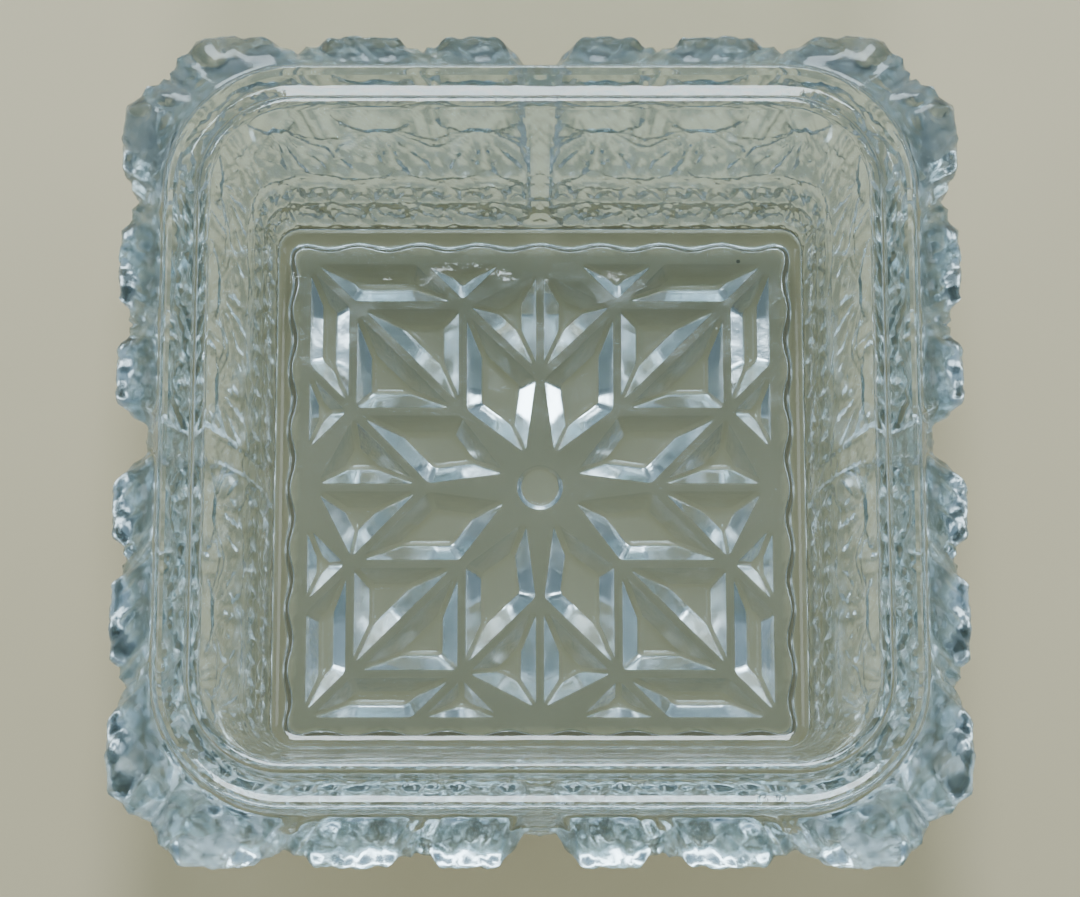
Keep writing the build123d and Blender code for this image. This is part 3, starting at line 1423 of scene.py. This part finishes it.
@dataclass(frozen=True)
class SoftLight:
    """One soft panel light. Metres.

    Attributes:
        name: the light's name.
        place: where it hangs.
        size: its width and height.
        power: its power, in watts.
        colour: its colour.
        aim: the point it faces.
    """

    name: str
    place: tuple[float, float, float]
    size: tuple[float, float]
    power: float
    colour: Colour = COOL
    aim: tuple[float, float, float] = (0, 0, 0.03)

    def hang(self) -> None:
        """Adds the light to the scene."""
        light = bpy.data.lights.new(self.name, "AREA")
        light.shape = "RECTANGLE"
        light.size, light.size_y = self.size
        light.energy = self.power
        light.color = self.colour
        lamp = bpy.data.objects.new(self.name, light)
        lamp.location = self.place
        way = Vector(self.aim) - Vector(self.place)
        lamp.rotation_euler = way.to_track_quat("-Z", "Y").to_euler()
        bpy.context.scene.collection.objects.link(lamp)


@dataclass(frozen=True)
class Studio:
    """Floor, lights and camera. Metres and degrees.

    Attributes:
        lean: how far the camera leans towards the front from straight above.
        distance: from the camera to the point that it looks at.
        view_width: width of the picture at that point.
        forward: how far in front of the rim's middle that point lies.
        floor_radius: radius of the floor.
        room_front: where the room's dark side begins, from 0 at the front to 1, and its colour.
        room_window: where its window side begins, and its colour.
        bounces: how often light may bounce or be bent.
        mirror_bounces: how often it may be mirrored.
    """

    lean: float = 12.8
    distance: float = 0.66
    view_width: float = 0.2065
    forward: float = 0.0042
    floor_radius: float = 1.6
    room_front: tuple[float, Colour] = (0.45, (0.135, 0.18, 0.20))
    room_window: tuple[float, Colour] = (0.95, (0.48, 0.67, 0.82))
    bounces: int = 20
    mirror_bounces: int = 14

    def lay_floor(self) -> None:
        """Lays the round floor under everything."""
        deselect_all()
        bpy.ops.mesh.primitive_circle_add(vertices=96, radius=self.floor_radius, fill_type="NGON")
        floor = bpy.context.object
        floor.name = "floor"
        floor.data.materials.append(PaleFloor().build())

    def set_world(self) -> None:
        """A cool grey room, lighter overhead and at the window's side."""
        world = bpy.data.worlds.new("room")
        world.use_nodes = True
        bpy.context.scene.world = world
        bench = NodeBench(world.node_tree)
        backdrop = bench.nodes["Background"]
        backdrop.inputs["Strength"].default_value = 1.0
        split = bench.nodes.new("ShaderNodeSeparateXYZ")
        bench.feed(split.inputs[0], bench.add("TexCoord").outputs["Generated"])
        span = bench.nodes.new("ShaderNodeMapRange")
        bench.feed(span.inputs["From Min"], -1.0)
        bench.feed(span.inputs["Value"], split.outputs["Y"])
        ramp = bench.add("ValToRGB", Fac=span.outputs["Result"])
        ends = (self.room_front, self.room_window)
        for element, (place, colour) in zip(ramp.color_ramp.elements, ends):
            element.position, element.color = place, (*colour, 1.0)
        bench.feed(backdrop.inputs["Color"], ramp.outputs["Color"])

    def hang_lights(self) -> None:
        """Hangs the window-like key light, two soft fills and a low panel behind the dish."""
        for light in (
            SoftLight("window", (0.0, 0.85, 1.25), (0.42, 0.8), 27.0),
            SoftLight("left", (-1.3, 0.3, 0.9), (0.4, 0.9), 3.5),
            SoftLight("right", (1.3, 0.3, 0.9), (0.4, 0.9), 3.5),
            SoftLight("low", (0.0, 1.45, 0.28), (1.7, 0.34), 18.0, (0.78, 0.92, 1.0)),
        ):
            light.hang()

    def open_light_paths(self) -> None:
        """Lets light bounce often enough inside the glass that its slopes don't go black."""
        paths = bpy.context.scene.cycles
        paths.max_bounces = self.bounces
        paths.glossy_bounces = self.mirror_bounces
        paths.transmission_bounces = self.bounces

    def place_camera(self, rim_level: float) -> None:
        """Places the camera nearly straight above the dish.

        Args:
            rim_level: height of the rim.
        """
        data = bpy.data.cameras.new("camera")
        data.sensor_width = 36.0
        data.lens = data.sensor_width * self.distance / self.view_width
        data.clip_start = 0.01
        camera = bpy.data.objects.new("camera", data)
        lean = math.radians(self.lean)
        aim = Vector((0, -self.forward, rim_level))
        camera.location = aim + self.distance * Vector((0, -math.sin(lean), math.cos(lean)))
        camera.rotation_euler = (lean, 0, 0)
        bpy.context.scene.collection.objects.link(camera)
        bpy.context.scene.camera = camera

    def build(self, rim_level: float) -> None:
        """Sets up the whole studio.

        Args:
            rim_level: height of the rim.
        """
        self.open_light_paths()
        self.lay_floor()
        self.set_world()
        self.hang_lights()
        self.place_camera(rim_level)


def report(piece: bpy.types.Object) -> None:
    """Logs a finished piece's size.

    Args:
        piece: the finished object.
    """
    faces = sum(len(face.vertices) - 2 for face in piece.data.polygons)
    size = [round(value * 1000, 1) for value in piece.dimensions]
    LOG.info("%s: %s mm, %d triangles", piece.name, size, faces)


def main() -> None:
    """Builds the dish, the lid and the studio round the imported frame."""
    logging.basicConfig(level=logging.INFO, format="%(name)s %(message)s")
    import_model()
    surface = build_ripple_group()
    dish = Dish().build(PressedGlass("dish_glass").build(surface))
    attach(dish, "dish_body")
    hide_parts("dish")
    report(dish)
    clearer = PressedGlass("lid_glass", tint=(0.88, 0.94, 0.95), shade=(0.86, 0.87, 0.86))
    lid = Lid().build(clearer.build(surface))
    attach(lid, "lid_body")
    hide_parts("lid")
    report(lid)
    Studio().build(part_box("dish")[1][2])


if __name__ == "__main__":
    main()
